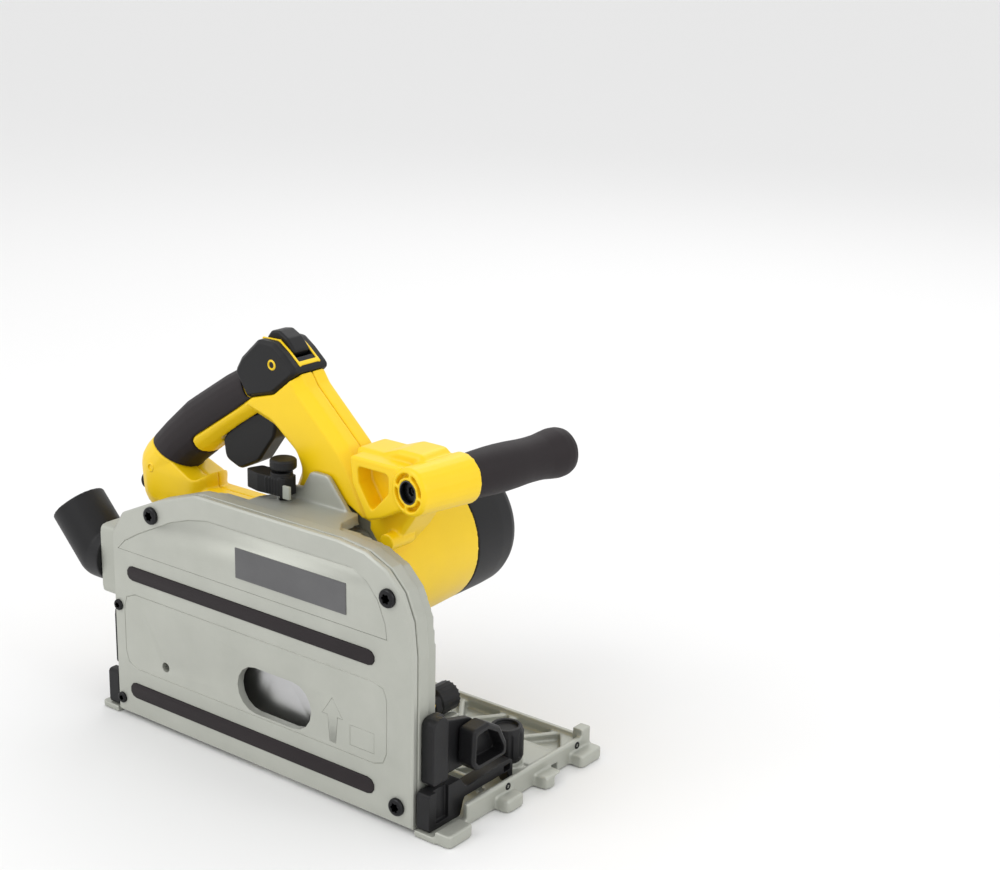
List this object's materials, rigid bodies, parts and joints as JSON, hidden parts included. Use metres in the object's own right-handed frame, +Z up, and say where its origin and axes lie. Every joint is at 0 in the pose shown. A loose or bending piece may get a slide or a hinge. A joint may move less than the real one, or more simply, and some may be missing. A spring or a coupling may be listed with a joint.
{
  "type": "track plunge saw",
  "caption": "Corded plunge saw with a cast guard, parallel plunge linkage, bevelling guard and a slotted base that rides a guide track.",
  "frame": {"origin": "on the flat sole of the base, midway along the base casting and 70 mm to the right of the blade's plane", "axes": "+X is the cutting direction, +Y runs from the blade to the motor, +Z is up from the sole"},
  "size_m": [0.3792, 0.1978, 0.2849],
  "materials": {
    "cast_alloy": "fine sand-textured painted casting",
    "steel": "ground steel",
    "yellow_plastic": "satin moulded nylon",
    "black_plastic": "moulded nylon",
    "soft_rubber": "matt soft-touch rubber",
    "motor_iron": "varnished laminations and copper windings",
    "copper": "bare turned copper bars"
  },
  "bodies": {
    "base": {"base_plate": "cast_alloy", "bevel_bracket_front": "black_plastic", "bevel_bracket_rear": "black_plastic"},
    "rail_adjuster_front": {"rail_adjuster_front": "black_plastic"},
    "rail_adjuster_rear": {"rail_adjuster_rear": "black_plastic"},
    "kickback_knob": {"kickback_knob": "black_plastic"},
    "guard": {"guard_cover": "cast_alloy", "guard_body": "cast_alloy", "rub_strip_upper": "soft_rubber", "rub_strip_lower": "soft_rubber", "bevel_quadrant_front": "black_plastic", "bevel_quadrant_rear": "black_plastic", "dust_box": "cast_alloy", "return_spring": "steel"},
    "bevel_knob_front": {"bevel_knob_front": "black_plastic"},
    "bevel_knob_rear": {"bevel_knob_rear": "black_plastic"},
    "dust_spout": {"dust_spout": "black_plastic"},
    "depth_stop": {"depth_slider": "black_plastic"},
    "depth_knob": {"depth_knob": "black_plastic"},
    "upper_link": {"upper_link": "steel"},
    "lower_link": {"lower_link": "steel"},
    "saw_body": {"gear_case": "cast_alloy", "gear_cover": "cast_alloy", "spindle_bearing_outer": "steel", "spindle_bearing_inner": "steel", "motor_housing": "yellow_plastic", "handle_left": "yellow_plastic", "handle_right": "yellow_plastic", "grip_overmould": "soft_rubber", "nose_cap": "black_plastic", "end_cap": "black_plastic", "front_handle": "soft_rubber", "front_handle_bolt": "steel", "stator": "motor_iron", "brush_holder_upper": "black_plastic", "brush_holder_lower": "black_plastic", "switch_module": "black_plastic", "riving_knife": "steel", "cord_gland": "soft_rubber", "idler_pin": "steel", "armature_bearing_front": "steel", "armature_bearing_rear": "steel"},
    "spindle_lock": {"spindle_lock": "black_plastic"},
    "lock_off_button": {"lock_off_button": "black_plastic"},
    "trigger": {"trigger": "black_plastic"},
    "speed_dial": {"speed_dial": "black_plastic"},
    "spindle": {"arbor": "steel", "blade": "steel", "inner_flange": "steel", "outer_flange": "steel", "blade_bolt": "steel", "driven_gear": "steel"},
    "idler": {"idler_gear": "steel"},
    "armature": {"armature_shaft": "steel", "rotor_core": "motor_iron", "cooling_fan": "black_plastic", "commutator": "copper"}
  },
  "joints": [
    {"name": "bevel", "type": "hinge", "parent": "base", "child": "guard", "pos_m": [0, -0.08, 0], "axis": [1, 0, 0], "range_deg": [-1, 47]},
    {"name": "plunge", "type": "hinge", "parent": "guard", "child": "upper_link", "pos_m": [-0.082, -0.0526, 0.128], "axis": [0, 1, 0], "range_deg": [0, 36], "stiffness_Nm_per_rad": 3, "springref_deg": -108.86},
    {"name": "body_pivot", "type": "hinge", "parent": "upper_link", "child": "saw_body", "pos_m": [0.00835, -0.0526, 0.15736], "axis": [0, 1, 0], "range_deg": [-36, 0]},
    {"name": "lower_link_pivot", "type": "hinge", "parent": "guard", "child": "lower_link", "pos_m": [-0.07, -0.0526, 0.092], "axis": [0, 1, 0], "range_deg": [0, 36]},
    {"name": "front_adjuster_turn", "type": "hinge", "parent": "base", "child": "rail_adjuster_front", "pos_m": [0.137, 0.016, 0.025], "axis": [0, 0, 1], "range_deg": [0, 270]},
    {"name": "rear_adjuster_turn", "type": "hinge", "parent": "base", "child": "rail_adjuster_rear", "pos_m": [-0.137, 0.016, 0.025], "axis": [0, 0, 1], "range_deg": [0, 270]},
    {"name": "kickback_turn", "type": "hinge", "parent": "base", "child": "kickback_knob", "pos_m": [0.062, 0.036, 0.025], "axis": [0, 1, 0], "range_deg": [0, 90]},
    {"name": "front_bevel_clamp", "type": "hinge", "parent": "guard", "child": "bevel_knob_front", "pos_m": [0.154, -0.04, 0.046], "axis": [1, 0, 0], "range_deg": [0, 60]},
    {"name": "rear_bevel_clamp", "type": "hinge", "parent": "guard", "child": "bevel_knob_rear", "pos_m": [-0.144, -0.04, 0.046], "axis": [1, 0, 0], "range_deg": [0, 60]},
    {"name": "spout_swivel", "type": "hinge", "parent": "guard", "child": "dust_spout", "pos_m": [-0.152, -0.062, 0.108], "axis": [1, 0, 0], "range_deg": [-20, 180]},
    {"name": "depth_slide", "type": "slide", "parent": "guard", "child": "depth_stop", "axis": [0, 0, 1], "range_m": [0, 0.012]},
    {"name": "depth_knob_turn", "type": "hinge", "parent": "depth_stop", "child": "depth_knob", "pos_m": [-0.004, -0.046, 0.2], "axis": [0, 0, 1], "range_deg": [0, 270]},
    {"name": "spindle_lock_press", "type": "slide", "parent": "saw_body", "child": "spindle_lock", "axis": [0, 1, 0], "range_m": [0, 0.003], "stiffness_N_per_m": 800, "springref_m": -0.002},
    {"name": "lock_off_press", "type": "slide", "parent": "saw_body", "child": "lock_off_button", "axis": [0, 0, -1], "range_m": [0, 0.003], "stiffness_N_per_m": 600, "springref_m": -0.002},
    {"name": "trigger_pull", "type": "hinge", "parent": "saw_body", "child": "trigger", "pos_m": [-0.062, -0.018, 0.201], "axis": [0, 1, 0], "range_deg": [-8, 0], "stiffness_Nm_per_rad": 0.8, "springref_deg": 14.32},
    {"name": "speed_dial_turn", "type": "hinge", "parent": "saw_body", "child": "speed_dial", "pos_m": [-0.002, 0, 0.227], "axis": [0, 1, 0], "range_deg": [0, 270]},
    {"name": "spindle_spin", "type": "hinge", "parent": "saw_body", "child": "spindle", "pos_m": [0.018, -0.07, 0.086], "axis": [0, 1, 0], "continuous": true},
    {"name": "idler_spin", "type": "hinge", "parent": "saw_body", "child": "idler", "pos_m": [0.02266, -0.0345, 0.11665], "axis": [0, 1, 0], "continuous": true},
    {"name": "armature_spin", "type": "hinge", "parent": "saw_body", "child": "armature", "pos_m": [0.025, 0.02, 0.132], "axis": [0, 1, 0], "continuous": true}
  ],
  "couplings": [
    {"joint": "body_pivot", "follows": "plunge", "ratio": -1},
    {"joint": "lower_link_pivot", "follows": "plunge", "ratio": 1},
    {"joint": "idler_spin", "follows": "spindle_spin", "ratio": -1.6957},
    {"joint": "armature_spin", "follows": "spindle_spin", "ratio": 4.875}
  ]
}
